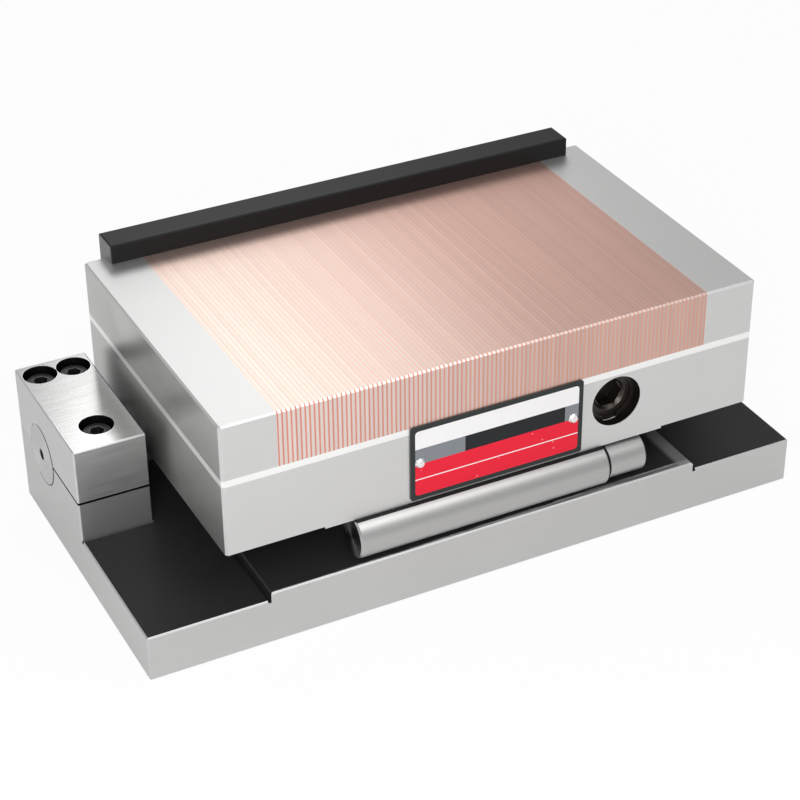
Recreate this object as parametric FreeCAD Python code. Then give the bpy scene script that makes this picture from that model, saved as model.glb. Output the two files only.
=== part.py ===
import FreeCAD, Part
import math
import os
from FreeCAD import Vector

# Sine magnetic chuck: a fine-pole permanent magnetic chuck that tilts on two trunnion pins.
# Frame: X runs along the base, left to right; Y runs from the front to the back; Z is up.
# The origin is the middle of the base's underside. All sizes are in millimetres.

# ---- base ----
base_length = 310.0
base_width = 150.0
shoulder_z = 21.5                     # top of the low shoulders
pad_z = 25.0                          # top of the raised pad for gauge blocks
pad_left = -100.5
pad_right = 103.5
relief_width = 1.6                    # grinding relief at the foot of each step
relief_depth = 1.2
edge_break = 0.6                      # chamfer on the outer edges of base and caps

# ---- bearing blocks ----
block_front = 0.0
left_block_width = 32.5
right_block_width = 19.5
split_z = 39.6                        # joint between pillar and cap
slit = 0.8                            # open slit in front of the pin, closed by the clamping screw
cap_top = 66.0
left_thread = 8.0                     # cap screws
right_thread = 6.0
left_screw_places = [(-146.4, 65.5), (-131.1, 65.5), (-138.6, 16.2)]
right_screw_places = [(145.25, 65.5), (145.25, 16.2)]
head_below_top = 3.0                  # depth of a cap screw's head below the cap's top
screw_tip_z = 20.0                    # bottom of the tapped holes

# ---- tilt axis ----
axis_y = 46.5
axis_z = 38.0
journal_r = 14.0                      # trunnion journal
journal_clearance = 0.03
shank_r = 10.0                        # part of the pin held in the chuck
shank_length = 42.0
lug_r = 15.0
lug_length = 55.0
set_screw_r = 3.0                     # holds a pin's shank in its lug
set_screw_inset = 22.0                # from the chuck's end

# ---- sine roller ----
roller_r = 10.0
roller_flat = 0.4                     # seat ground on top of the roller
roller_end_r = 8.4
roller_left = -60.0
roller_shoulder = 59.5
roller_right = 79.0
roller_set_back = 2.7                 # axis behind the chuck's front face
roller_gap = 0.1                      # between roller and pad at rest
land_height = 1.0
land_left = -73.0
land_right = 89.0
land_depth = 16.0
roller_chamfer = 0.8
roller_neck = 0.5                     # depth of the narrow groove at the shoulder
roller_neck_width = 0.7
roller_thread = 5.0
roller_thread_depth = 12.0
roller_screw_sink = 6.5               # depth of the heads in the roller's underside
roller_screw_places = (-38.0, 38.0)

# ---- chuck ----
chuck_length = 250.0
chuck_width = 150.0
chuck_centre = 8.0
chuck_front = -69.5
body_height = 33.0
seam_height = 3.0
pole_height = 25.5
chuck_chamfer = 1.0
rear_chamfer = 8.0                    # lets the rear edge swing clear of the base
pole_screw_thread = 6.0
pole_screw_sink = 12.0
pole_screw_reach = 12.0               # length of thread in the end pole
front_wall = 16.0
rear_wall = 13.0
side_wall = 21.0
floor_thickness = 8.0

# ---- pole plate ----
steel_count = 100
steel_thickness = 1.3
copper_thickness = 0.7
lamination_chamfer = 0.8

# ---- spindle ----
spindle_x = 65.2
spindle_above_bottom = 20.0
bore_r = 12.0
bore_depth = 12.0
key_flats = 12.0
key_depth = 7.5
eccentric = 2.0
eccentric_r = 3.0
spindle_recess = 6.0                  # spindle's face behind the chuck's front face
running_play = 0.05
journal_bore_r = 9.5
ring_recess = 4.5                     # retaining ring's groove
ring_groove = 1.3
ring_groove_r = 12.6
ring_thickness = 1.2
ring_width = 1.9
stop_pin_r = 0.9                      # limits the spindle to half a turn
stop_pin_place = 10.9
stop_pin_set = 3.0
stop_pin_proud = 1.7
seal_groove = 1.8
seal_inset = 2.3                      # seal groove's front from the magnet pocket
seal_r = 8.2

# ---- magnet pack ----
pole_bars = 23
pole_bar = 5.0
magnet_bar = 3.0
rail_bar = 7.0
end_bar = 8.0
pack_side_play = 0.5
pack_floor_play = 0.1
pack_top_play = 0.2
pack_thread = 4.0
pack_screw_sink = 4.3
pack_screw_reach = 10.0
pack_screw_inset = 6.0                # from the pack's top and bottom
eccentric_play = 0.55                 # the pin's play in its slot

# ---- stop rail ----
rail_length = 230.0
rail_lip = 8.0
rail_behind = 6.5
rail_height = 8.8
rail_leg = 43.5
rail_radius = 0.9
rail_thread = 6.0
rail_thread_depth = 9.0
rail_screw_below_seam = 7.0
rail_screw_spacing = 50.0

# ---- nameplate ----
plate_width = 82.0
plate_height = 35.8
plate_thickness = 0.8
plate_centre = 7.0
plate_above_bottom = 0.2
plate_corner = 1.2
rivet_half_spacing = 36.6
rivet_r = 1.5
rivet_length = 5.0
rivet_head_r = 2.3
rivet_head = 1.3

# ---- worked out ----
half_length = base_length / 2
half_width = base_width / 2
left_block_inner = -half_length + left_block_width
right_block_inner = half_length - right_block_width
chuck_left = chuck_centre - chuck_length / 2
chuck_right = chuck_centre + chuck_length / 2
chuck_back = chuck_front + chuck_width
roller_y = chuck_front + roller_set_back
roller_z = pad_z + roller_gap + roller_r
land_z = roller_z + roller_r - roller_flat
bottom_z = land_z + land_height
body_top = bottom_z + body_height
seam_top = body_top + seam_height
work_z = seam_top + pole_height
floor_z = bottom_z + floor_thickness
pocket_left = chuck_left + side_wall
pocket_right = chuck_right - side_wall
pocket_front = chuck_front + front_wall
pocket_back = chuck_back - rear_wall
pitch = steel_thickness + copper_thickness
field_length = steel_count * pitch + copper_thickness
field_left = chuck_centre - field_length / 2
field_right = chuck_centre + field_length / 2
spindle_z = bottom_z + spindle_above_bottom
spindle_front = chuck_front + spindle_recess
ring_front = chuck_front + ring_recess
shoulder_y = chuck_front + bore_depth     # seat of the spindle's collar
seal_front = pocket_front - seal_inset
rail_screw_z = body_top - rail_screw_below_seam
plate_z = bottom_z + plate_above_bottom + plate_height / 2
# the magnet pack, at rest against the left end of its travel
pack_left = pocket_left + pack_side_play
bars_left = pack_left + end_bar
bars_right = bars_left + pole_bars * pole_bar + (pole_bars + 1) * magnet_bar
pack_right = bars_right + end_bar
pack_front = pocket_front + pack_side_play
pack_back = pocket_back - pack_side_play
pack_bottom = floor_z + pack_floor_play
pack_top = seam_top - pack_top_play
bars_front = pack_front + rail_bar
bars_back = pack_back - rail_bar


def box(x0, x1, y0, y1, z0, z1):
    return Part.makeBox(x1 - x0, y1 - y0, z1 - z0, Vector(x0, y0, z0))


def rod_x(radius, x0, x1, y, z):
    return Part.makeCylinder(radius, x1 - x0, Vector(x0, y, z), Vector(1, 0, 0))


def rod_y(radius, y0, y1, x, z):
    return Part.makeCylinder(radius, y1 - y0, Vector(x, y0, z), Vector(0, 1, 0))


def rod_z(radius, z0, z1, x, y):
    return Part.makeCylinder(radius, z1 - z0, Vector(x, y, z0), Vector(0, 0, 1))


def turned(profile, start, direction):
    """A turned piece: profile lists (distance along, radius) pairs from the axis and back to it."""
    points = [Vector(radius, 0, along) for along, radius in profile]
    shape = Part.Face(Part.makePolygon(points + points[:1])).revolve(Vector(), Vector(0, 0, 1), 360)
    shape.Placement = FreeCAD.Placement(start, FreeCAD.Rotation(Vector(0, 0, 1), direction))
    return shape


def hexagon(flats, depth, start, direction):
    """A six-sided prism that starts at start and runs along direction."""
    corner = flats / math.sqrt(3)
    points = [Vector(corner * math.cos(math.radians(60 * k)), corner * math.sin(math.radians(60 * k)), 0)
              for k in range(7)]
    shape = Part.Face(Part.makePolygon(points)).extrude(Vector(0, 0, depth))
    shape.Placement = FreeCAD.Placement(start, FreeCAD.Rotation(Vector(0, 0, 1), direction))
    return shape


def cap_screw(thread, seat, direction, length):
    """A socket head screw. seat is the middle of the head's underside; direction points to the tip."""
    head_r, head_height, edge = thread * 0.8, thread, thread * 0.08
    profile = [(-head_height, 0), (-head_height, head_r - edge), (-head_height + edge, head_r),
               (0, head_r), (0, thread / 2), (length, thread / 2), (length, 0)]
    top = seat - direction * head_height
    return turned(profile, seat, direction).cut(hexagon(thread * 0.75, thread * 0.5, top, direction))


def straight_edges(shape, wanted):
    """The straight edges of shape whose two ends both satisfy wanted(point)."""
    return [edge for edge in shape.Edges
            if isinstance(edge.Curve, Part.Line) and all(wanted(v.Point) for v in edge.Vertexes)]


def near(a, b):
    return abs(a - b) < 1e-4


def break_edges(shape, size, top=False, upright=False, bottom=False):
    """Chamfer the chosen outer edges of a plain block."""
    whole = shape.BoundBox
    chosen = []
    for edge in shape.Edges:
        extent = edge.BoundBox
        if upright and near(extent.ZLength, whole.ZLength):
            chosen.append(edge)
        if (top and near(extent.ZMin, whole.ZMax)) or (bottom and near(extent.ZMax, whole.ZMin)):
            chosen.append(edge)
    return shape.makeChamfer(size, chosen)


def pillar(x0, x1):
    return break_edges(box(x0, x1, block_front, half_width, 1.0, split_z), edge_break, upright=True)


def base_plate():
    """The base in one piece: plate, raised pad, both pillars with the lower part of their bores."""
    plate = box(-half_length, half_length, -half_width, half_width, 0, shoulder_z)
    shape = break_edges(plate, edge_break, top=True, upright=True, bottom=True)
    pad = box(pad_left, pad_right, -half_width, block_front, 1.0, pad_z)
    shape = shape.fuse(break_edges(pad, edge_break, top=True))
    shape = shape.fuse(pillar(-half_length, left_block_inner))
    shape = shape.fuse(pillar(right_block_inner, half_length))
    shape = shape.removeSplitter()
    shape = shape.cut(rod_x(journal_r + journal_clearance, -half_length - 1, half_length + 1,
                            axis_y, axis_z))
    for thread, places in ((left_thread, left_screw_places), (right_thread, right_screw_places)):
        for x, y in places:
            shape = shape.cut(rod_z(thread / 2, screw_tip_z, split_z + 1, x, y))
    relief_bottom = shoulder_z - relief_depth
    for x0, x1, y0, y1 in [(pad_left - relief_width, pad_left, -half_width - 1, block_front),
                           (pad_right, pad_right + relief_width, -half_width - 1, block_front),
                           (-half_length - 1, left_block_inner, block_front - relief_width, block_front),
                           (right_block_inner, half_length + 1, block_front - relief_width, block_front)]:
        shape = shape.cut(box(x0, x1, y0, y1, relief_bottom, pad_z))
    return shape


def bearing_cap(x0, x1, thread, places):
    """A cap that sits on its pillar behind the pin and leaves the clamping slit in front of it."""
    shape = box(x0, x1, block_front, half_width, split_z, cap_top)
    shape = break_edges(shape, edge_break, top=True, upright=True)
    shape = shape.cut(box(x0 - 1, x1 + 1, block_front - 1, axis_y, split_z - 1, split_z + slit))
    shape = shape.cut(rod_x(journal_r + journal_clearance, x0 - 1, x1 + 1, axis_y, axis_z))
    seat = cap_top - head_below_top - thread
    for x, y in places:
        shape = shape.cut(rod_z(thread * 0.95, seat, cap_top + 1, x, y))
        shape = shape.cut(rod_z(thread * 0.5375, split_z - 1, seat + 1, x, y))
    return shape


def cap_screws(thread, places):
    seat = cap_top - head_below_top - thread
    length = seat - screw_tip_z - 1.0
    return [cap_screw(thread, Vector(x, y, seat), Vector(0, 0, -1), length) for x, y in places]


def hinge_pin(outer, chuck_side, inward):
    """A trunnion: a journal in the bearing block and a slimmer shank pressed into the chuck's lug."""
    journal = abs(chuck_side - outer)
    tip = journal + shank_length
    profile = [(0, 0), (0, journal_r - 0.4), (0.4, journal_r), (journal, journal_r), (journal, shank_r),
               (tip - 1, shank_r), (tip, shank_r - 1), (tip, 0)]
    direction = Vector(inward, 0, 0)
    start = Vector(outer, axis_y, axis_z)
    drill = turned([(-1, 0), (-1, 2.6), (0, 2.0), (2.0, 0.8), (4.0, 0.8), (4.5, 0)], start, direction)
    return turned(profile, start, direction).cut(drill)


def lug(x0, x1):
    """A hinge lug under the chuck: upright sides, rounded about the tilt axis below."""
    front, back, top = axis_y - lug_r, axis_y + lug_r, bottom_z + 1.0
    arc = Part.Arc(Vector(x0, back, axis_z), Vector(x0, axis_y, axis_z - lug_r), Vector(x0, front, axis_z))
    wire = Part.Wire([Part.LineSegment(Vector(x0, front, axis_z), Vector(x0, front, top)).toShape(),
                      Part.LineSegment(Vector(x0, front, top), Vector(x0, back, top)).toShape(),
                      Part.LineSegment(Vector(x0, back, top), Vector(x0, back, axis_z)).toShape(),
                      arc.toShape()])
    return Part.Face(wire).extrude(Vector(x1 - x0, 0, 0))


def pole_screw_places():
    return [(x, y) for x in (chuck_left + side_wall / 2, chuck_right - side_wall / 2)
            for y in (chuck_front + 11.5, chuck_front + 74.0, chuck_back - 13.5)]


def rail_screw_places():
    return [chuck_centre + step * rail_screw_spacing for step in (-1.5, -0.5, 0.5, 1.5)]


def set_screw_places():
    return [chuck_left + set_screw_inset, chuck_right - set_screw_inset]


def rivet_places():
    return [plate_centre - rivet_half_spacing, plate_centre + rivet_half_spacing]


def chuck_body():
    """The housing: pocket for the magnet pack, hinge lugs, roller land and all its holes."""
    shape = box(chuck_left, chuck_right, chuck_front, chuck_back, bottom_z, body_top)
    shape = break_edges(shape, chuck_chamfer, upright=True)
    swing = Part.makePolygon([Vector(chuck_left - 1, chuck_back + 1, bottom_z - 1),
                              Vector(chuck_left - 1, chuck_back - rear_chamfer - 1, bottom_z - 1),
                              Vector(chuck_left - 1, chuck_back + 1, bottom_z + rear_chamfer + 1),
                              Vector(chuck_left - 1, chuck_back + 1, bottom_z - 1)])
    shape = shape.cut(Part.Face(swing).extrude(Vector(chuck_length + 2, 0, 0)))
    shape = shape.cut(box(pocket_left, pocket_right, pocket_front, pocket_back, floor_z, body_top + 1))
    shape = shape.fuse(box(land_left, land_right, chuck_front, chuck_front + land_depth,
                           land_z, bottom_z + 1.0))
    shape = shape.fuse(lug(chuck_left, chuck_left + lug_length))
    shape = shape.fuse(lug(chuck_right - lug_length, chuck_right))
    shape = shape.removeSplitter()
    shape = shape.cut(rod_x(shank_r, chuck_left - 1, chuck_left + shank_length, axis_y, axis_z))
    shape = shape.cut(rod_x(shank_r, chuck_right - shank_length, chuck_right + 1, axis_y, axis_z))
    for hole in body_holes():
        shape = shape.cut(hole)
    return shape


def body_holes():
    holes = [rod_y(bore_r, chuck_front - 1, shoulder_y, spindle_x, spindle_z),
             rod_y(journal_bore_r, shoulder_y - 1, pocket_front + 1, spindle_x, spindle_z),
             rod_y(ring_groove_r, ring_front, ring_front + ring_groove, spindle_x, spindle_z),
             rod_y(stop_pin_r, shoulder_y - 1, shoulder_y + stop_pin_set, spindle_x,
                   spindle_z - stop_pin_place)]
    seat = bottom_z + pole_screw_sink
    for x, y in pole_screw_places():
        holes.append(rod_z(pole_screw_thread * 0.87, bottom_z - 1, seat, x, y))
        holes.append(rod_z(pole_screw_thread * 0.55, seat - 1, body_top + 1, x, y))
    for x in roller_screw_places:
        holes.append(rod_z(roller_thread / 2, land_z - 1, land_z + roller_thread_depth, x, roller_y))
    for x in rail_screw_places():
        holes.append(rod_y(rail_thread / 2, chuck_back - rail_thread_depth, chuck_back + 1, x, rail_screw_z))
    for x in set_screw_places():
        holes.append(rod_y(set_screw_r, axis_y + shank_r - 1, axis_y + lug_r + 1, x, axis_z))
    for x in rivet_places():
        holes.append(rod_y(rivet_r, chuck_front - 1, chuck_front + rivet_length, x, plate_z))
    return holes


def drive_spindle():
    """The turning spindle: collar, journal, hex socket, stop notch and eccentric pin."""
    collar_end = shoulder_y - running_play
    inner_face = pocket_front - 0.1
    collar = rod_y(bore_r - running_play, spindle_front, collar_end, spindle_x, spindle_z)
    mouth = Part.makeCone(key_flats / 2 + 1.8, key_flats / 2 + 0.4, 1.6,
                          Vector(spindle_x, spindle_front - 0.2, spindle_z), Vector(0, 1, 0))
    shape = collar.cut(mouth)
    shape = shape.fuse(rod_y(journal_bore_r - running_play, collar_end - 1, inner_face, spindle_x, spindle_z))
    shape = shape.fuse(rod_y(eccentric_r, inner_face - 1, pocket_front + rail_bar - 0.5,
                             spindle_x - eccentric, spindle_z))
    shape = shape.cut(hexagon(key_flats, key_depth, Vector(spindle_x, spindle_front, spindle_z),
                              Vector(0, 1, 0)))
    sweep = box(spindle_x - 1.2, spindle_x + bore_r + 1, collar_end - stop_pin_proud - 0.2, collar_end + 1,
                spindle_z - bore_r - 1, spindle_z + bore_r + 1)
    sweep = sweep.cut(rod_y(journal_bore_r + 0.4, chuck_front, pocket_front, spindle_x, spindle_z))
    shape = shape.cut(sweep)
    groove = rod_y(journal_bore_r + 1, seal_front, seal_front + seal_groove, spindle_x, spindle_z)
    return shape.cut(groove.cut(rod_y(seal_r, chuck_front, pocket_back, spindle_x, spindle_z)))


def spindle_seal():
    ring = rod_y(journal_bore_r - running_play, seal_front, seal_front + seal_groove, spindle_x, spindle_z)
    return ring.cut(rod_y(seal_r, seal_front - 1, seal_front + seal_groove + 1, spindle_x, spindle_z))


def retaining_ring():
    """An internal circlip, open at the bottom."""
    ring = rod_y(ring_groove_r, ring_front, ring_front + ring_thickness, spindle_x, spindle_z)
    ring = ring.cut(rod_y(bore_r - ring_width, ring_front - 1, ring_front + 2, spindle_x, spindle_z))
    return ring.cut(box(spindle_x - 3.5, spindle_x + 3.5, ring_front - 1, ring_front + 2,
                        spindle_z - 2 * bore_r, spindle_z))


def stop_pin():
    return rod_y(stop_pin_r, shoulder_y - stop_pin_proud, shoulder_y + stop_pin_set, spindle_x,
                 spindle_z - stop_pin_place)


def seam_frame():
    """The thin bright plate between housing and pole plate, open over the pocket."""
    shape = box(chuck_left, chuck_right, chuck_front, chuck_back, body_top, seam_top)
    shape = break_edges(shape, chuck_chamfer, upright=True)
    shape = shape.cut(box(pocket_left, pocket_right, pocket_front, pocket_back, body_top - 1, seam_top + 1))
    for x, y in pole_screw_places():
        shape = shape.cut(rod_z(pole_screw_thread * 0.55, body_top - 1, seam_top + 1, x, y))
    return shape


def end_pole(x0, x1, outer):
    """A solid end of the pole plate, with tapped holes in its underside."""
    shape = box(x0, x1, chuck_front, chuck_back, seam_top, work_z)
    upright = [edge for edge in shape.Edges
               if near(edge.BoundBox.ZLength, pole_height) and near(edge.BoundBox.XMin, outer)]
    shape = shape.makeChamfer(chuck_chamfer, upright)
    rim = straight_edges(shape, lambda p: near(p.z, work_z) and not near(p.x, x0 + x1 - outer))
    rim += [edge for edge in shape.Edges
            if near(edge.BoundBox.ZMin, work_z) and near(edge.BoundBox.YLength, 0)]
    shape = shape.makeChamfer(lamination_chamfer, rim)
    for x, y in pole_screw_places():
        if x0 < x < x1:
            shape = shape.cut(rod_z(pole_screw_thread / 2, seam_top - 1, seam_top + pole_screw_reach, x, y))
    return shape


def lamination(x0, x1):
    """One plate of the pole stack, with its top edges broken at front and back."""
    c = lamination_chamfer
    outline = [(chuck_front, seam_top), (chuck_back, seam_top), (chuck_back, work_z - c),
               (chuck_back - c, work_z), (chuck_front + c, work_z), (chuck_front, work_z - c),
               (chuck_front, seam_top)]
    face = Part.Face(Part.makePolygon([Vector(x0, y, z) for y, z in outline]))
    return face.extrude(Vector(x1 - x0, 0, 0))


def copper_laminations():
    starts = [field_left + k * pitch for k in range(steel_count + 1)]
    return [lamination(x, x + copper_thickness) for x in starts]


def steel_laminations():
    starts = [field_left + copper_thickness + k * pitch for k in range(steel_count)]
    return [lamination(x, x + steel_thickness) for x in starts]


def pole_screws():
    seat = bottom_z + pole_screw_sink
    length = seam_top + pole_screw_reach - 1.0 - seat
    return [cap_screw(pole_screw_thread, Vector(x, y, seat), Vector(0, 0, 1), length)
            for x, y in pole_screw_places()]


def set_screws():
    screws = []
    for x in set_screw_places():
        screw = rod_y(set_screw_r, axis_y + shank_r, axis_y + lug_r - 0.5, x, axis_z)
        mouth = Vector(x, axis_y + lug_r - 0.5, axis_z)
        screws.append(screw.cut(hexagon(3.0, 2.5, mouth, Vector(0, -1, 0))))
    return screws


def sine_roller():
    """The hardened roller: full-size bearing length, a neck, and a slimmer turned end."""
    c = roller_chamfer
    length, shoulder = roller_right - roller_left, roller_shoulder - roller_left
    neck_end, neck_r = shoulder + roller_neck_width, roller_end_r - roller_neck
    profile = [(0, 0), (0, roller_r - c), (c, roller_r), (shoulder - c, roller_r), (shoulder, roller_r - c),
               (shoulder, neck_r), (neck_end, neck_r), (neck_end, roller_end_r),
               (length - c, roller_end_r), (length, roller_end_r - c), (length, 0)]
    shape = turned(profile, Vector(roller_left, roller_y, roller_z), Vector(1, 0, 0))
    shape = shape.cut(box(roller_left - 1, roller_right + 1, roller_y - roller_r, roller_y + roller_r,
                          land_z, land_z + 5))
    seat = roller_z - roller_r + roller_screw_sink
    for x in roller_screw_places:
        shape = shape.cut(rod_z(roller_thread * 0.9, roller_z - roller_r - 1, seat, x, roller_y))
        shape = shape.cut(rod_z(roller_thread * 0.55, seat - 1, land_z + 1, x, roller_y))
    return shape


def roller_screws():
    seat = roller_z - roller_r + roller_screw_sink
    length = land_z + roller_thread_depth - 1.0 - seat
    return [cap_screw(roller_thread, Vector(x, roller_y, seat), Vector(0, 0, 1), length)
            for x in roller_screw_places]


def stop_rail():
    """A hooked bar: a leg against the rear face and a lip over the rear edge of the working face."""
    x0, x1 = chuck_centre - rail_length / 2, chuck_centre + rail_length / 2
    back, top = chuck_back + rail_behind, work_z + rail_height
    outline = [(chuck_back, work_z), (chuck_back, work_z - rail_leg), (back, work_z - rail_leg), (back, top),
               (chuck_back - rail_lip, top), (chuck_back - rail_lip, work_z), (chuck_back, work_z)]
    face = Part.Face(Part.makePolygon([Vector(x0, y, z) for y, z in outline]))
    shape = face.extrude(Vector(x1 - x0, 0, 0))
    rounded = [edge for edge in shape.Edges
               if near(edge.BoundBox.ZMin, top) or
               (near(edge.BoundBox.YMin, chuck_back - rail_lip) and edge.BoundBox.ZLength > 1
                and near(edge.BoundBox.YLength, 0))]
    shape = shape.makeFillet(rail_radius, rounded)
    for x in rail_screw_places():
        shape = shape.cut(rod_y(rail_thread * 0.55, chuck_back - 1, back + 1, x, rail_screw_z))
    return shape


def rail_screws():
    """Button head screws through the rail's leg."""
    screws = []
    for x in rail_screw_places():
        seat = Vector(x, chuck_back + rail_behind, rail_screw_z)
        length = rail_behind + rail_thread_depth - 1.0
        head = [(-3.4, 0), (-3.4, 2.9), (-2.0, 4.7), (0, 5.3)]
        profile = head + [(0, rail_thread / 2), (length, rail_thread / 2), (length, 0)]
        screw = turned(profile, seat, Vector(0, -1, 0))
        top = seat + Vector(0, 3.4, 0)
        screws.append(screw.cut(hexagon(4.0, 2.2, top, Vector(0, -1, 0))))
    return screws


def nameplate():
    """A bare plate on the front of the housing."""
    shape = box(plate_centre - plate_width / 2, plate_centre + plate_width / 2,
                chuck_front - plate_thickness, chuck_front,
                plate_z - plate_height / 2, plate_z + plate_height / 2)
    corners = [edge for edge in shape.Edges if near(edge.BoundBox.YLength, plate_thickness)]
    shape = shape.makeFillet(plate_corner, corners)
    for x in rivet_places():
        shape = shape.cut(rod_y(rivet_r, chuck_front - 2, chuck_front + 1, x, plate_z))
    return shape


def nameplate_rivets():
    rivets = []
    for x in rivet_places():
        seat = Vector(x, chuck_front - plate_thickness, plate_z)
        length = plate_thickness + rivet_length
        dome = [(-rivet_head, 0), (-rivet_head, 0.7), (-0.8 * rivet_head, 1.5), (0, rivet_head_r)]
        profile = dome + [(0, rivet_r), (length, rivet_r), (length, 0)]
        rivets.append(turned(profile, seat, Vector(0, 1, 0)))
    return rivets


def pack_screw_places():
    """(x, z) of the screws that hold the rails to the end bars."""
    return [(x, z) for x in (pack_left + end_bar / 2, pack_right - end_bar / 2)
            for z in (pack_bottom + pack_screw_inset, pack_top - pack_screw_inset)]


def pack_rail(outer, inner):
    """A long rail of the pack's frame; outer and inner are its two faces' places along Y."""
    low, high = min(outer, inner), max(outer, inner)
    sink = outer + math.copysign(pack_screw_sink, inner - outer)
    shape = box(pack_left, pack_right, low, high, pack_bottom, pack_top)
    for x, z in pack_screw_places():
        shape = shape.cut(rod_y(pack_thread * 0.95, min(outer, sink), max(outer, sink), x, z))
        shape = shape.cut(rod_y(pack_thread * 0.55, low - 1, high + 1, x, z))
    return shape


def pack_front_rail():
    """The front rail has the upright slot that the eccentric pin works in."""
    slot_half = eccentric_r + eccentric_play
    slot_reach = eccentric + eccentric_r + 0.6
    x = spindle_x - eccentric
    slot = box(x - slot_half, x + slot_half, pack_front - 1, bars_front + 1,
               spindle_z - slot_reach, spindle_z + slot_reach)
    return pack_rail(pack_front, bars_front).cut(slot)


def pack_end_bars():
    bars = []
    for x in (pack_left, pack_right - end_bar):
        bar = box(x, x + end_bar, bars_front, bars_back, pack_bottom, pack_top)
        for hole_x, z in pack_screw_places():
            if x < hole_x < x + end_bar:
                depth = pack_screw_reach + 1.0
                bar = bar.cut(rod_y(pack_thread / 2, bars_front - 1, bars_front + depth, hole_x, z))
                bar = bar.cut(rod_y(pack_thread / 2, bars_back - depth, bars_back + 1, hole_x, z))
        bars.append(bar)
    return bars


def pack_screws():
    screws = []
    for x, z in pack_screw_places():
        length = rail_bar - pack_screw_sink + pack_screw_reach
        front, back = pack_front + pack_screw_sink, pack_back - pack_screw_sink
        screws.append(cap_screw(pack_thread, Vector(x, front, z), Vector(0, 1, 0), length))
        screws.append(cap_screw(pack_thread, Vector(x, back, z), Vector(0, -1, 0), length))
    return screws


def pack_bar(x0, x1):
    return box(x0, x1, bars_front, bars_back, pack_bottom, pack_top)


def magnet_bars():
    step = pole_bar + magnet_bar
    return [pack_bar(bars_left + k * step, bars_left + k * step + magnet_bar) for k in range(pole_bars + 1)]


def steel_bars():
    step = pole_bar + magnet_bar
    return [pack_bar(bars_left + k * step + magnet_bar, bars_left + (k + 1) * step) for k in range(pole_bars)]


def save(name, shapes):
    """Write one node: a single solid, or a group of separate solids."""
    group = shapes if isinstance(shapes, list) else [shapes]
    solids = [solid for shape in group for solid in shape.Solids]
    result = solids[0] if len(solids) == 1 else Part.makeCompound(solids)
    result.exportStep("parts/" + name + ".step")
    print(name, len(solids), "solid(s), valid", all(solid.isValid() for solid in solids))


def main():
    os.makedirs("parts", exist_ok=True)
    save("base_plate", base_plate())
    save("left_bearing_cap", bearing_cap(-half_length, left_block_inner, left_thread, left_screw_places))
    save("right_bearing_cap", bearing_cap(right_block_inner, half_length, right_thread, right_screw_places))
    save("left_cap_screws", cap_screws(left_thread, left_screw_places))
    save("right_cap_screws", cap_screws(right_thread, right_screw_places))
    save("chuck_body", chuck_body())
    save("seam_frame", seam_frame())
    save("left_end_pole", end_pole(chuck_left, field_left, chuck_left))
    save("right_end_pole", end_pole(field_right, chuck_right, chuck_right))
    save("steel_laminations", steel_laminations())
    save("copper_laminations", copper_laminations())
    save("pole_screws", pole_screws())
    save("left_hinge_pin", hinge_pin(-half_length, chuck_left, 1))
    save("right_hinge_pin", hinge_pin(half_length, chuck_right, -1))
    save("hinge_set_screws", set_screws())
    save("sine_roller", sine_roller())
    save("roller_screws", roller_screws())
    save("stop_rail", stop_rail())
    save("rail_screws", rail_screws())
    save("nameplate", nameplate())
    save("nameplate_rivets", nameplate_rivets())
    save("retaining_ring", retaining_ring())
    save("stop_pin", stop_pin())
    save("drive_spindle", drive_spindle())
    save("spindle_seal", spindle_seal())
    save("pack_front_rail", pack_front_rail())
    save("pack_rear_rail", pack_rail(pack_back, bars_back))
    save("pack_end_bars", pack_end_bars())
    save("magnet_bars", magnet_bars())
    save("pole_bars", steel_bars())
    save("pack_screws", pack_screws())


main()
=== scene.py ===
import math

import bpy
from mathutils import Matrix, Vector


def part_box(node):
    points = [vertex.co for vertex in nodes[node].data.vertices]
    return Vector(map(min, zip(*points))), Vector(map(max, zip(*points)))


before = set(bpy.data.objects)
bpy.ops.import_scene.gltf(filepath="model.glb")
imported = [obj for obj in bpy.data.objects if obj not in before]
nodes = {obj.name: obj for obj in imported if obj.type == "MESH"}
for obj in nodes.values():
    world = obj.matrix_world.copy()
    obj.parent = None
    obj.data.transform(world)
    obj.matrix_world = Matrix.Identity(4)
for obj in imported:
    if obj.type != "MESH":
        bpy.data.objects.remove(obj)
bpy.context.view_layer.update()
print("frame loaded:", len(nodes), "nodes")


# Small helpers for building shader trees

def addNode(tree, kind, values=None, **settings):
    made = tree.nodes.new(kind)
    for name, value in settings.items():
        setattr(made, name, value)
    for key, value in (values or {}).items():
        if isinstance(value, bpy.types.NodeSocket):
            tree.links.new(value, made.inputs[key])
        else:
            made.inputs[key].default_value = value
    return made


def calc(tree, operation, *terms):
    return addNode(tree, "ShaderNodeMath", dict(enumerate(terms)), operation=operation).outputs[0]


def over(tree, value, limit):
    return calc(tree, "GREATER_THAN", value, limit)


def under(tree, value, limit):
    return calc(tree, "LESS_THAN", value, limit)


def allOf(tree, first, *others):  # 1 only where every mask is 1
    for mask in others:
        first = calc(tree, "MULTIPLY", first, mask)
    return first


def blend(tree, mask, first, second):  # colour: first where the mask is 0, second where it is 1
    values = {0: mask, 6: first, 7: second}
    return addNode(tree, "ShaderNodeMix", values, data_type="RGBA").outputs[2]


def blendValue(tree, mask, first, second):
    return addNode(tree, "ShaderNodeMix", {0: mask, 2: first, 3: second}).outputs[0]


def fade(tree, value, start, end):  # 0 at start, 1 at end, smooth between them
    values = {0: value, 1: start, 2: end, 3: 0.0, 4: 1.0}
    return addNode(tree, "ShaderNodeMapRange", values, interpolation_type="SMOOTHSTEP").outputs[0]


def scaled(tree, colour, factor):
    return addNode(tree, "ShaderNodeVectorMath", {0: colour, "Scale": factor}, operation="SCALE").outputs[0]


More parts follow.
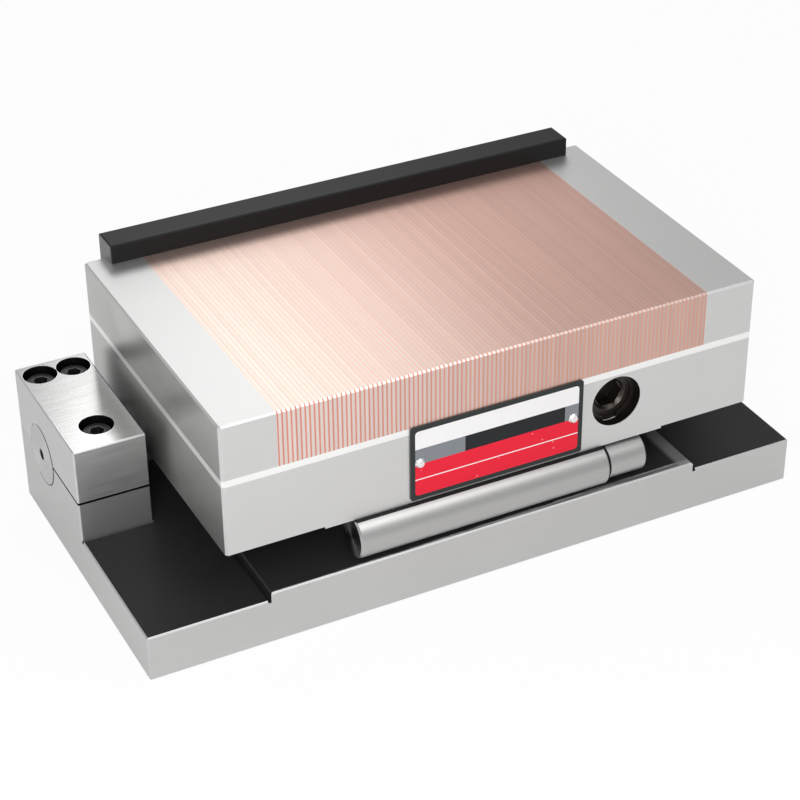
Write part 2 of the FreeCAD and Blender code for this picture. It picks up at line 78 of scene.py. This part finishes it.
def rgb(colour):
    return (*colour, 1.0)


def newGroup(name, inputs, outputs):
    tree = bpy.data.node_groups.new(name, "ShaderNodeTree")
    for label, kind, value in inputs:
        socket = tree.interface.new_socket(label, in_out="INPUT", socket_type=kind)
        if value is not None:
            socket.default_value = value
    for label, kind in outputs:
        tree.interface.new_socket(label, in_out="OUTPUT", socket_type=kind)
    return tree, tree.nodes.new("NodeGroupInput").outputs, tree.nodes.new("NodeGroupOutput").inputs


# Shared shader groups

def grindingGroup():
    # Fine lines left by the grinding wheel: noise squeezed across the lines and stretched along them,
    # along X on most faces and along Y on the faces that look along X
    tree, given, out = newGroup("grinding lines", [("Vector", "NodeSocketVector", None),
                                                   ("Face", "NodeSocketVector", None),
                                                   ("Across", "NodeSocketFloat", 2200.0),
                                                   ("Along", "NodeSocketFloat", 60.0)],
                                [("Lines", "NodeSocketFloat"), ("Cloud", "NodeSocketFloat")])
    squeezes = []
    for order in (("Along", "Across", "Across"), ("Across", "Along", "Across")):
        squeeze = addNode(tree, "ShaderNodeCombineXYZ", {k: given[name] for k, name in enumerate(order)})
        place = addNode(tree, "ShaderNodeVectorMath", {0: given["Vector"], 1: squeeze.outputs[0]},
                        operation="MULTIPLY")
        noise = addNode(tree, "ShaderNodeTexNoise", {"Vector": place.outputs[0], "Scale": 1.0,
                                                     "Detail": 3.0, "Roughness": 0.6})
        squeezes.append(noise.outputs[0])
    parts = addNode(tree, "ShaderNodeSeparateXYZ", {0: given["Face"]}).outputs
    sideways = calc(tree, "GREATER_THAN", calc(tree, "ABSOLUTE", parts[0]), 0.7)
    tree.links.new(blendValue(tree, sideways, squeezes[0], squeezes[1]), out["Lines"])
    cloud = addNode(tree, "ShaderNodeTexNoise", {"Vector": given["Vector"], "Scale": 22.0, "Detail": 2.0})
    tree.links.new(cloud.outputs[0], out["Cloud"])
    return tree


def edgeGroup():
    # Where a rounded copy of the surface leans away from the real one there is an edge
    tree, given, out = newGroup("edge mask", [("Width", "NodeSocketFloat", 0.0006)],
                                [("Edge", "NodeSocketFloat")])
    rounded = addNode(tree, "ShaderNodeBevel", {"Radius": given["Width"]}, samples=6)
    surface = addNode(tree, "ShaderNodeNewGeometry")
    dot = addNode(tree, "ShaderNodeVectorMath", {0: rounded.outputs[0], 1: surface.outputs["True Normal"]},
                  operation="DOT_PRODUCT")
    tree.links.new(fade(tree, calc(tree, "SUBTRACT", 1.0, dot.outputs["Value"]), 0.01, 0.12), out["Edge"])
    return tree


def rodGroup():
    # 1 inside a rod of the given radius, from two coordinates measured across its axis
    tree, given, out = newGroup("inside rod", [("A", "NodeSocketFloat", 0.0), ("B", "NodeSocketFloat", 0.0),
                                               ("Centre A", "NodeSocketFloat", 0.0),
                                               ("Centre B", "NodeSocketFloat", 0.0),
                                               ("Radius", "NodeSocketFloat", 0.01)],
                                [("Inside", "NodeSocketFloat"), ("Distance", "NodeSocketFloat")])
    a = calc(tree, "SUBTRACT", given["A"], given["Centre A"])
    b = calc(tree, "SUBTRACT", given["B"], given["Centre B"])
    squares = calc(tree, "ADD", calc(tree, "MULTIPLY", a, a), calc(tree, "MULTIPLY", b, b))
    reach = calc(tree, "SQRT", squares)
    tree.links.new(calc(tree, "LESS_THAN", reach, given["Radius"]), out["Inside"])
    tree.links.new(reach, out["Distance"])
    return tree


groups = {"grinding": grindingGroup(), "edge": edgeGroup(), "rod": rodGroup()}


def fillGroup(tree, name, values):
    placed = tree.nodes.new("ShaderNodeGroup")
    placed.node_tree = groups[name]
    for key, value in values.items():
        if isinstance(value, bpy.types.NodeSocket):
            tree.links.new(value, placed.inputs[key])
        else:
            placed.inputs[key].default_value = value
    return placed.outputs


faces = {"flat": 0.9, "slanted": 0.4}  # least share of a direction in a face's normal


class Surface:
    # The running state of one material: its tree, object coordinates, and the chains that overlays extend
    def __init__(self, name):
        self.material = bpy.data.materials.new(name)
        self.material.use_nodes = True
        self.tree = self.material.node_tree
        self.shader = self.tree.nodes["Principled BSDF"]
        place = addNode(self.tree, "ShaderNodeTexCoord")
        self.place, self.facing = place.outputs["Object"], place.outputs["Normal"]
        self.x, self.y, self.z = addNode(self.tree, "ShaderNodeSeparateXYZ", {0: self.place}).outputs
        self.nx, self.ny, self.nz = addNode(self.tree, "ShaderNodeSeparateXYZ", {0: self.facing}).outputs

    def start(self, look):
        tree = self.tree
        self.shader.inputs["Metallic"].default_value = look["metallic"]
        self.shader.inputs["Specular IOR Level"].default_value = look.get("specular", 0.5)
        self.lines, cloud = fillGroup(tree, "grinding", {"Vector": self.place, "Face": self.facing,
                                                         "Across": look["across"], "Along": look["along"]})
        tone = calc(tree, "MULTIPLY_ADD", calc(tree, "SUBTRACT", self.lines, 0.5), look["grain"], 1.0)
        tone = calc(tree, "MULTIPLY_ADD", calc(tree, "SUBTRACT", cloud, 0.5), look["cloud"], tone)
        self.tone = tone
        self.colour = scaled(tree, look["colour"], tone)
        self.roughness = calc(tree, "MULTIPLY_ADD", calc(tree, "SUBTRACT", self.lines, 0.5),
                              look["grain"] * 0.8, look["roughness"])
        self.bumpStrength = look["bump"]
        self.metallic = None

    def overlay(self, mask, colour, roughness=None):
        tree = self.tree
        if not isinstance(colour, bpy.types.NodeSocket):
            colour = scaled(tree, colour, self.tone)
        self.colour = blend(tree, mask, self.colour, colour)
        if roughness is not None:
            self.roughness = blendValue(tree, mask, self.roughness, roughness)

    # lighter edges: partly broken, worn edges and partly a painted highlight along them
    def edges(self, look):
        edge = fillGroup(self.tree, "edge", {"Width": look["edgeWidth"]})["Edge"]
        self.overlay(calc(self.tree, "MULTIPLY", edge, look["edgeAmount"]), look["edgeWearAndHighlight"])

    def finish(self):
        tree = self.tree
        tree.links.new(self.colour, self.shader.inputs["Base Color"])
        tree.links.new(self.roughness, self.shader.inputs["Roughness"])
        if self.metallic is not None:
            tree.links.new(self.metallic, self.shader.inputs["Metallic"])
        bump = addNode(tree, "ShaderNodeBump", {"Strength": self.bumpStrength, "Distance": 0.00002,
                                                "Height": self.lines})
        tree.links.new(bump.outputs[0], self.shader.inputs["Normal"])
        return self.material


def coat(nodeNames, material):
    for name in nodeNames:
        slots = nodes[name].data.materials
        slots.clear()
        slots.append(material)


# Ground steel: base, caps, chuck housing and end poles

groundSteel = {"colour": (0.65, 0.65, 0.645), "metallic": 0.87, "roughness": 0.36, "across": 1500.0,
               "along": 45.0, "grain": 0.06, "cloud": 0.05, "bump": 0.10,
               "edgeWearAndHighlight": (0.92, 0.92, 0.92), "edgeAmount": 0.7, "edgeWidth": 0.0004}
blackened = {"colour": (0.020, 0.020, 0.021), "roughness": 0.42, "metallic": 0.0, "below": 0.03,
             "stepFoot": 0.0198, "padRight": 0.1035, "padTop": 0.0248,
             "bandReflection": (0.15, 0.15, 0.152), "bandWidth": 0.008, "bandSoft": 0.003, "bandLength": 0.12,
             "frontReflection": (0.34, 0.34, 0.343), "frontWidth": 0.0012, "frontGrowth": 0.0026,
             "frontRagged": 0.003, "frontStreaks": 0.7, "stripRoughness": 0.4, "endWidth": 0.03}
blocks = {"colour": (0.60, 0.60, 0.595), "innerSideShade": (0.05, 0.05, 0.05),
          "recessShade": (0.012, 0.011, 0.011), "markRoughness": 0.5, "boreGap": 0.0003,
          "leftScrews": [(-0.1464, 0.0655), (-0.1311, 0.0655), (-0.1386, 0.0162)], "leftBore": 0.0076,
          "rightScrews": [(0.14525, 0.0655), (0.14525, 0.0162)], "rightBore": 0.0057,
          "topRoughness": 0.20, "gapForward": 0.0014, "gapUp": 0.0006, "slit": 0.0008, "slitEdge": 0.00015}
pinLow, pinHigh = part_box("left_hinge_pin")
pinRadius = (pinHigh.z - pinLow.z) / 2
pinY, pinZ = (pinLow.y + pinHigh.y) / 2, (pinLow.z + pinHigh.z) / 2


def blockShade(made, splitHeight):
    # painted shade in the slit under a cap and in the gap round the front of the pin, and painted shade on
    # the rougher sides towards the chuck
    tree = made.tree
    middle = splitHeight + blocks["slit"] / 2
    near = under(tree, calc(tree, "ABSOLUTE", calc(tree, "SUBTRACT", made.z, middle)),
                 blocks["slit"] / 2 + blocks["slitEdge"])
    made.overlay(allOf(tree, near, under(tree, made.y, pinY)), blocks["recessShade"],
                 blocks["markRoughness"])
    gap = fillGroup(tree, "rod", {"A": made.y, "B": made.z, "Centre A": pinY - blocks["gapForward"],
                                  "Centre B": pinZ + blocks["gapUp"], "Radius": pinRadius})["Inside"]
    outside = over(tree, calc(tree, "ABSOLUTE", made.nx), faces["flat"])
    made.overlay(allOf(tree, gap, outside), blocks["recessShade"], blocks["markRoughness"])
    outward = calc(tree, "MULTIPLY", made.nx, calc(tree, "SIGN", made.x))
    inner = allOf(tree, under(tree, outward, -0.5), over(tree, made.z, blackened["stepFoot"]))
    made.overlay(inner, blocks["innerSideShade"], blocks["markRoughness"])


def baseMaterial():
    made = Surface("ground base")
    tree = made.tree
    made.start({**groundSteel, "colour": (0.57, 0.57, 0.565), "specular": 0.15})
    made.edges(groundSteel)
    low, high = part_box("base_plate")
    lower = under(tree, made.z, blackened["below"])
    top = allOf(tree, over(tree, made.nz, faces["flat"]), lower)
    # the small steps at both ends of the raised pad and the relief at their feet
    inner = under(tree, calc(tree, "ABSOLUTE", made.x), high.x - blackened["endWidth"])
    step = allOf(tree, over(tree, calc(tree, "ABSOLUTE", made.nx), faces["slanted"]),
                 over(tree, made.z, blackened["stepFoot"]), inner, lower)
    dark = calc(tree, "MAXIMUM", top, step)
    made.overlay(dark, blackened["colour"], blackened["roughness"])
    made.metallic = blendValue(tree, dark, groundSteel["metallic"], blackened["metallic"])
    # a painted reflection: a lighter band along the right edge of the raised pad
    onPad = allOf(tree, top, over(tree, made.z, blackened["padTop"]))
    inside = blackened["padRight"] - blackened["bandWidth"]
    band = allOf(tree, onPad, fade(tree, made.x, inside, inside + blackened["bandSoft"]),
                 fade(tree, made.y, low.y + blackened["bandLength"], low.y))
    made.overlay(band, blackened["bandReflection"], blackened["stripRoughness"])
    # and a painted reflection: a lighter strip along its front, wider and streakier towards the right
    width = calc(tree, "MULTIPLY_ADD", fade(tree, made.x, low.x / 2, high.x * 0.7),
                 blackened["frontGrowth"], low.y + blackened["frontWidth"])
    reflectionEdge = calc(tree, "MULTIPLY_ADD", calc(tree, "SUBTRACT", made.lines, 0.5),
                  blackened["frontRagged"], made.y)
    streaks = calc(tree, "MULTIPLY_ADD", fade(tree, made.lines, 0.40, 0.60), blackened["frontStreaks"],
                   1.0 - blackened["frontStreaks"])
    made.overlay(allOf(tree, onPad, under(tree, reflectionEdge, width), streaks), blackened["frontReflection"],
                 blackened["stripRoughness"])
    blockShade(made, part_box("left_bearing_cap")[0].z)
    return made.finish()


def capMaterial(name, cap, screws, radius):
    made = Surface(name)
    tree = made.tree
    made.start({**groundSteel, "colour": blocks["colour"], "across": 700.0, "along": 40.0, "grain": 0.34,
                "bump": 0.2})
    made.roughness = blendValue(tree, over(tree, made.nz, faces["flat"]), made.roughness,
                                blocks["topRoughness"])
    made.edges({**groundSteel, "edgeWidth": 0.0009, "edgeAmount": 0.8})
    low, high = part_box(cap)
    blockShade(made, low.z)
    # painted shade inside the counterbores, below the top of the cap
    deep = under(tree, made.z, high.z - blocks["boreGap"])
    for x, y in screws:
        inside = fillGroup(tree, "rod", {"A": made.x, "B": made.y, "Centre A": x, "Centre B": y,
                                         "Radius": radius + blocks["boreGap"]})["Inside"]
        made.overlay(allOf(tree, inside, deep), blocks["recessShade"], blocks["markRoughness"])
    return made.finish()


housing = {"endShade": (0.50, 0.50, 0.49), "endRoughness": 0.30, "cloudShade": -0.16, "cloudless": 1.08,
           "boreOilAndShade": (0.030, 0.024, 0.021), "boreRadius": 0.0124, "boreEdge": 0.0003,
           "boreReach": 0.02, "boreRoughness": 0.4, "poleRoughness": 0.40}


def shadedEnds(made):  # painted shade and reflections: the end faces are darker than the front, with cloudy darker patches
    tree = made.tree
    clouds = addNode(tree, "ShaderNodeTexNoise", {"Vector": made.place, "Scale": 24.0, "Detail": 3.0,
                                                  "Distortion": 0.4}).outputs[0]
    shade = calc(tree, "MULTIPLY_ADD", fade(tree, clouds, 0.35, 0.7), housing["cloudShade"],
                 housing["cloudless"])
    colour = scaled(tree, housing["endShade"], shade)
    made.overlay(over(tree, calc(tree, "ABSOLUTE", made.nx), 0.95), colour, housing["endRoughness"])


def bodyMaterial():
    made = Surface("ground housing")
    tree = made.tree
    made.start(groundSteel)
    shadedEnds(made)
    made.edges(groundSteel)
    low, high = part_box("drive_spindle")
    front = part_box("chuck_body")[0].y
    # the spindle bore's wall is painted dark brown: oil, and painted shade inside the hole
    inside = fillGroup(tree, "rod", {"A": made.x, "B": made.z, "Centre A": (low.x + high.x) / 2,
                                     "Centre B": (low.z + high.z) / 2,
                                     "Radius": housing["boreRadius"]})["Inside"]
    mask = allOf(tree, inside, over(tree, made.y, front + housing["boreEdge"]),
                 under(tree, made.y, front + housing["boreReach"]))
    made.overlay(mask, housing["boreOilAndShade"], housing["boreRoughness"])
    return made.finish()


def endPoleMaterial():
    made = Surface("end pole steel")
    made.start({**groundSteel, "roughness": housing["poleRoughness"]})
    shadedEnds(made)
    made.edges(groundSteel)
    return made.finish()


def plainMetal(name, look):
    made = Surface(name)
    made.start({**groundSteel, **look})
    made.edges({**groundSteel, **look})
    return made.finish()


coat(["base_plate"], baseMaterial())
for side in ("left", "right"):
    cap = side + "_bearing_cap"
    coat([cap], capMaterial(side + " cap steel", cap, blocks[side + "Screws"], blocks[side + "Bore"]))
coat(["chuck_body"], bodyMaterial())
coat(["left_end_pole", "right_end_pole"], endPoleMaterial())
coat(["seam_frame"], plainMetal("bright seam", {"colour": (0.95, 0.95, 0.94), "roughness": 0.42,
                                                "grain": 0.04}))
print("ground steel coated")


# Pole plate: steel plates with thin copper ones between them

laminations = {"pitch": 0.002, "copper": 0.0007, "smear": 0.00014, "spread": 0.08, "leftEnd": -0.09,
               "rightEnd": 0.06, "roughness": 0.4, "railFrom": 0.045, "railTo": 0.072, "railShare": 0.6,
               "railShadeColour": (0.62, 0.42, 0.36),
               "steelFresh": (0.76, 0.68, 0.65), "steelAged": (0.62, 0.46, 0.41),
               "steelEdge": (0.97, 0.93, 0.90), "steelRightEdge": (0.66, 0.57, 0.53),
               "copperFresh": (0.72, 0.29, 0.23), "copperAged": (0.70, 0.38, 0.30),
               "copperGround": (0.84, 0.60, 0.49),
               "copperEdge": (0.58, 0.22, 0.16), "copperRightEdge": (0.66, 0.33, 0.26)}


def laminationMaterial(name, kind):
    made = Surface(name)
    tree = made.tree
    made.start({**groundSteel, "roughness": laminations["roughness"]})
    # painted highlight: the plates are painted lighter and paler towards the left end, darker and redder
    # towards the right
    rightward = fade(tree, made.x, laminations["leftEnd"], laminations["rightEnd"])
    leftEnd = rgb(laminations[kind + "Fresh"])
    if kind == "copper":  # on top the wheel has drawn steel dust over it
        leftEnd = blend(tree, over(tree, made.nz, faces["flat"]), leftEnd, rgb(laminations["copperGround"]))
    shade = blend(tree, rightward, leftEnd, rgb(laminations[kind + "Aged"]))
    # painted shade: darker and redder in front of the rail, standing in for the rail's dark reflection
    nearRail = fade(tree, made.y, laminations["railFrom"], laminations["railTo"])
    railShade = calc(tree, "MULTIPLY", nearRail, laminations["railShare"])
    shade = blend(tree, railShade, shade, rgb(laminations["railShadeColour"]))
    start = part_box("copper_laminations")[0].x
    turns = calc(tree, "DIVIDE", calc(tree, "SUBTRACT", made.x, start), laminations["pitch"])
    if kind == "steel":  # grinding smears a little copper over the edges of each steel plate
        along = calc(tree, "MULTIPLY", calc(tree, "FRACT", turns), laminations["pitch"])
        inward = calc(tree, "MINIMUM", calc(tree, "SUBTRACT", along, laminations["copper"]),
                      calc(tree, "SUBTRACT", laminations["pitch"], along))
        smear = fade(tree, inward, laminations["smear"] * 1.5, laminations["smear"] * 0.5)
        smeared = blend(tree, rightward, rgb(laminations["copperGround"]), rgb(laminations["copperAged"]))
        shade = blend(tree, smear, shade, smeared)
    # the broken top edges: painted highlights on the steel plates and painted shade on the copper ones, both
    # fading towards the right
    broken = allOf(tree, over(tree, made.nz, faces["slanted"]),
                   over(tree, calc(tree, "ABSOLUTE", made.ny), faces["slanted"]))
    edge = blend(tree, rightward, rgb(laminations[kind + "Edge"]), rgb(laminations[kind + "RightEdge"]))
    shade = blend(tree, broken, shade, edge)
    # each plate a little lighter or darker than the next
    count = calc(tree, "FLOOR", turns)
    chance = addNode(tree, "ShaderNodeTexWhiteNoise", {"W": count}, noise_dimensions="1D").outputs[0]
    factor = calc(tree, "MULTIPLY_ADD", calc(tree, "SUBTRACT", chance, 0.5), laminations["spread"],
                  made.tone)
    made.colour = scaled(tree, shade, factor)
    return made.finish()


coat(["steel_laminations"], laminationMaterial("plate steel", "steel"))
coat(["copper_laminations"], laminationMaterial("copper", "copper"))
print("pole plate coated")


# Black oxide: rail and screws

blackOxide = {"colour": (0.011, 0.011, 0.012), "metallic": 0.2, "specular": 0.26, "roughness": 0.42,
              "grain": 0.12, "cloud": 0.1, "bump": 0.2, "edgeWearAndHighlight": (0.09, 0.09, 0.095), "edgeAmount": 0.4,
              "sawnColour": (0.15, 0.15, 0.155), "sawnRoughness": 0.38}


def railMaterial():
    made = Surface("black rail")
    tree = made.tree
    made.start({**groundSteel, **blackOxide, "across": 1300.0})
    made.edges({**groundSteel, **blackOxide})
    made.overlay(under(tree, made.nx, -0.8), blackOxide["sawnColour"], blackOxide["sawnRoughness"])
    return made.finish()


coat(["stop_rail"], railMaterial())
# the lighter edges of the screws are painted glints at the rims
screwNodes = [name for name in nodes if name.endswith("_screws")]
coat(screwNodes, plainMetal("black screws", {**blackOxide, "colour": (0.060, 0.060, 0.060),
                                             "metallic": 0.8, "roughness": 0.36,
                                             "edgeWearAndHighlight": (0.45, 0.45, 0.45), "edgeAmount": 0.8}))


# Turned and ground round pieces

turned = {"colour": (0.50, 0.50, 0.495), "roughness": 0.33, "across": 900.0, "along": 25.0, "grain": 0.05,
          "metallic": 1.0, "bump": 0.06, "anisotropy": 0.75}
roller = {"neck": 0.0601, "neckWidth": 0.0016, "seatShade": 0.0007, "dark": (0.03, 0.03, 0.03)}
centreDrill = {"radius": 0.0026, "colour": (0.03, 0.03, 0.03)}


def turnedMetal(name, look):
    made = Surface(name)
    made.start({**groundSteel, **turned, **look})
    made.edges({**groundSteel, **look})
    made.shader.inputs["Anisotropic"].default_value = turned["anisotropy"]
    around = addNode(made.tree, "ShaderNodeTangent", direction_type="RADIAL", axis="X")
    made.tree.links.new(around.outputs[0], made.shader.inputs["Tangent"])
    return made


def rollerMaterial():
    made = turnedMetal("turned roller", {"edgeAmount": 0.2})
    tree = made.tree
    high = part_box("sine_roller")[1]
    # painted shade: a dark line in the neck behind the shoulder, and along the top where the roller sits
    # under the chuck
    neck = under(tree, calc(tree, "ABSOLUTE", calc(tree, "SUBTRACT", made.x, roller["neck"])),
                 roller["neckWidth"] / 2)
    seat = over(tree, made.z, high.z - roller["seatShade"])
    made.overlay(calc(tree, "MAXIMUM", neck, seat), roller["dark"], 0.5)
    return made.finish()


def pinMaterial():
    made = turnedMetal("turned pin", {"colour": (0.56, 0.56, 0.555), "roughness": 0.30})
    # painted shade inside the centre drill
    drilled = fillGroup(made.tree, "rod", {"A": made.y, "B": made.z, "Centre A": pinY, "Centre B": pinZ,
                                           "Radius": centreDrill["radius"]})["Inside"]
    made.overlay(drilled, centreDrill["colour"], 0.5)
    return made.finish()


coat(["sine_roller"], rollerMaterial())
coat(["left_hinge_pin", "right_hinge_pin"], pinMaterial())
coat(["stop_pin"], plainMetal("pin steel", {"colour": (0.56, 0.56, 0.555), "roughness": 0.30}))
darkSteel = {"colour": (0.060, 0.050, 0.045), "metallic": 0.9, "roughness": 0.36, "grain": 0.3,
             "edgeWearAndHighlight": (0.20, 0.18, 0.17), "edgeAmount": 0.7, "edgeWidth": 0.0004}
coat(["drive_spindle", "retaining_ring"], plainMetal("oiled spindle", darkSteel))
coat(["spindle_seal"], plainMetal("seal rubber", {"colour": (0.02, 0.02, 0.02), "metallic": 0.0,
                                                  "roughness": 0.7, "edgeAmount": 0.0}))
coat(["nameplate_rivets"], plainMetal("rivet metal", {"colour": (0.86, 0.86, 0.86), "roughness": 0.25}))
print("round pieces coated")


# The magnet pack inside the housing

packMetal = {"colour": (0.62, 0.62, 0.62), "roughness": 0.4, "grain": 0.2, "across": 900.0}
coat(["pack_front_rail", "pack_rear_rail", "pack_end_bars"], plainMetal("milled pack metal", packMetal))
coat(["pole_bars"], plainMetal("pole bar steel", {}))
coat(["magnet_bars"], plainMetal("sintered magnet", {"colour": (0.10, 0.10, 0.10), "metallic": 0.4,
                                                     "roughness": 0.55, "across": 1500.0,
                                                     "along": 1500.0, "grain": 0.3}))


# Nameplate: printed fields, left blank

plate = {"border": 0.0021, "corner": 0.0016, "white": (0.78, 0.77, 0.77), "black": (0.016, 0.018, 0.020),
         "frame": (0.028, 0.032, 0.032), "grey": (0.20, 0.215, 0.235), "red": (0.72, 0.015, 0.038),
         "rimColour": (0.05, 0.05, 0.05), "redTop": 0.488, "bandTop": 0.724, "bandLeft": 0.30,
         "bandRight": 0.915, "ruleHeight": 0.243, "ruleWidth": 0.00055, "roughness": 0.30, "specular": 0.15,
         "speckScale": 380.0, "speckSize": 0.16, "speckRarity": 0.80, "speckColour": (0.80, 0.20, 0.22)}


def plateMaterial():
    made = Surface("printed plate")
    tree = made.tree
    made.start({**groundSteel, "colour": (0.75, 0.75, 0.75), "metallic": 0.0,
                "roughness": plate["roughness"], "grain": 0.02, "cloud": 0.03, "bump": 0.03,
                "specular": plate["specular"]})
    low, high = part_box("nameplate")
    middle, half = (low + high) / 2, (high - low) / 2
    width, height = high.x - low.x, high.z - low.z
    # distance outside a rounded rectangle: length of the part beyond its corner centres, less the radius
    beyond = []
    for place, centre, reach in ((made.x, middle.x, half.x), (made.z, middle.z, half.z)):
        straight = reach - plate["border"] - plate["corner"]
        offset = calc(tree, "ABSOLUTE", calc(tree, "SUBTRACT", place, centre))
        beyond.append(calc(tree, "MAXIMUM", calc(tree, "SUBTRACT", offset, straight), 0.0))
    square = [calc(tree, "MULTIPLY", part, part) for part in beyond]
    distance = calc(tree, "SQRT", calc(tree, "ADD", *square))
    border = over(tree, distance, plate["corner"])
    # printed fields in shares of the panel inside the border: colour, left, right, bottom, top
    fields = [(plate["white"], 0.0, 1.0, plate["bandTop"], 1.0),
              (plate["grey"], 0.0, 1.0, plate["redTop"], plate["bandTop"]),
              (plate["black"], plate["bandLeft"], plate["bandRight"], plate["redTop"], plate["bandTop"]),
              (plate["red"], 0.0, 1.0, 0.0, plate["redTop"]),
              (plate["white"], 0.0, 1.0, plate["ruleHeight"],
               plate["ruleHeight"] + plate["ruleWidth"] / height)]
    wide = calc(tree, "DIVIDE", calc(tree, "SUBTRACT", made.x, low.x + plate["border"]),
                width - 2 * plate["border"])
    tall = calc(tree, "DIVIDE", calc(tree, "SUBTRACT", made.z, low.z + plate["border"]),
                height - 2 * plate["border"])
    for colour, left, right, bottom, top in fields:
        made.overlay(allOf(tree, over(tree, wide, left) if left else 1.0, under(tree, wide, right),
                           over(tree, tall, bottom), under(tree, tall, top)), colour)
    # tiny pale specks where the print is worn
    specks = addNode(tree, "ShaderNodeTexVoronoi", {"Vector": made.place, "Scale": plate["speckScale"]})
    chance = addNode(tree, "ShaderNodeSeparateColor", {0: specks.outputs["Color"]}).outputs[0]
    spot = allOf(tree, under(tree, specks.outputs["Distance"], plate["speckSize"]),
                 over(tree, chance, plate["speckRarity"]), under(tree, tall, plate["redTop"]))
    made.overlay(spot, plate["speckColour"])
    made.overlay(border, plate["frame"])
    front = under(tree, made.ny, -0.5)
    made.overlay(calc(tree, "SUBTRACT", 1.0, front), plate["rimColour"])
    return made.finish()


coat(["nameplate"], plateMaterial())
print("nameplate coated")


# Floor, light and camera

studio = {"floorSize": 6.0, "floorColour": (0.86, 0.86, 0.86), "floorSeen": 0.93, "floorMirrored": 0.2,
          "ambient": 0.62, "reflected": 0.56}


def floorMaterial():
    material = bpy.data.materials.new("floor")
    material.use_nodes = True
    tree = material.node_tree
    out = tree.nodes["Material Output"]
    tree.nodes.remove(tree.nodes["Principled BSDF"])
    plain = addNode(tree, "ShaderNodeBsdfDiffuse", {"Color": rgb(studio["floorColour"])})
    glow = addNode(tree, "ShaderNodeEmission", {"Color": (1, 1, 1, 1), "Strength": 1.0})
    ray = addNode(tree, "ShaderNodeLightPath").outputs
    shiny = calc(tree, "MAXIMUM", ray["Is Glossy Ray"], ray["Is Transmission Ray"])
    share = calc(tree, "MULTIPLY", shiny, studio["floorMirrored"])
    share = blendValue(tree, ray["Is Camera Ray"], share, studio["floorSeen"])
    mixed = addNode(tree, "ShaderNodeMixShader", {0: share, 1: plain.outputs[0], 2: glow.outputs[0]})
    tree.links.new(mixed.outputs[0], out.inputs["Surface"])
    return material


def makeFloor():
    half = studio["floorSize"] / 2
    mesh = bpy.data.meshes.new("floor")
    mesh.from_pydata([(-half, -half, 0), (half, -half, 0), (half, half, 0), (-half, half, 0)], [],
                     [(0, 1, 2, 3)])
    floor = bpy.data.objects.new("floor", mesh)
    mesh.materials.append(floorMaterial())
    floor.location.z = -0.0002
    bpy.context.scene.collection.objects.link(floor)


def makeWorld():
    world = bpy.data.worlds.new("studio")
    bpy.context.scene.world = world
    world.use_nodes = True
    tree = world.node_tree
    back = tree.nodes["Background"]
    back.inputs["Color"].default_value = (1, 1, 1, 1)
    ray = addNode(tree, "ShaderNodeLightPath").outputs
    shiny = calc(tree, "MAXIMUM", ray["Is Glossy Ray"], ray["Is Transmission Ray"])
    strength = blendValue(tree, shiny, studio["ambient"], studio["reflected"])
    strength = blendValue(tree, ray["Is Camera Ray"], strength, 1.0)
    tree.links.new(strength, back.inputs["Strength"])


def softLamp(name, place, aim, size, watts):
    lamp = bpy.data.lights.new(name, "AREA")
    lamp.shape, lamp.size, lamp.energy = "SQUARE", size, watts
    holder = bpy.data.objects.new(name, lamp)
    turn = (Vector(aim) - Vector(place)).to_track_quat("-Z", "Y")
    holder.matrix_world = Matrix.Translation(place) @ turn.to_matrix().to_4x4()
    bpy.context.scene.collection.objects.link(holder)


lamps = {"left front lamp": ((-0.42, -0.60, 0.42), (-0.12, -0.2, 0), 0.35, 3.0),
         "rear lamp": ((0.245, 0.775, 0.76), (-0.105, -0.06, 0.107), 0.35, 0.95),
         "overhead lamp": ((0.28, -0.52, 0.92), (-0.03, -0.07, 0.045), 0.45, 1.6)}


cameraView = {"azimuth": -26.66, "elevation": 32.47, "roll": -0.585, "distance": 0.9807, "lens": 99.49,
              "aim": (-0.0010, 0.0, 0.0500), "right": -0.0021, "up": -0.0028}


def makeCamera():
    a, e, r = [math.radians(cameraView[key]) for key in ("azimuth", "elevation", "roll")]
    back = Vector((math.sin(a) * math.cos(e), -math.cos(a) * math.cos(e), math.sin(e)))
    level = Vector((math.cos(a), math.sin(a), 0.0))
    upright = back.cross(level)
    right = level * math.cos(r) + upright * math.sin(r)
    up = upright * math.cos(r) - level * math.sin(r)
    aim = Vector(cameraView["aim"]) + level * cameraView["right"] + upright * cameraView["up"]
    lens = bpy.data.cameras.new("camera")
    lens.lens, lens.sensor_width = cameraView["lens"], 36.0
    lens.clip_start, lens.clip_end = 0.05, 20.0
    holder = bpy.data.objects.new("camera", lens)
    turn = Matrix((right, up, back)).transposed().to_4x4()
    holder.matrix_world = Matrix.Translation(aim + back * cameraView["distance"]) @ turn
    bpy.context.scene.collection.objects.link(holder)
    bpy.context.scene.camera = holder


makeFloor()
makeWorld()
for name, (place, aim, size, watts) in lamps.items():
    softLamp(name, place, aim, size, watts)
makeCamera()
bpy.context.scene.view_settings.view_transform = "Standard"
print("stage, lamps and camera set")
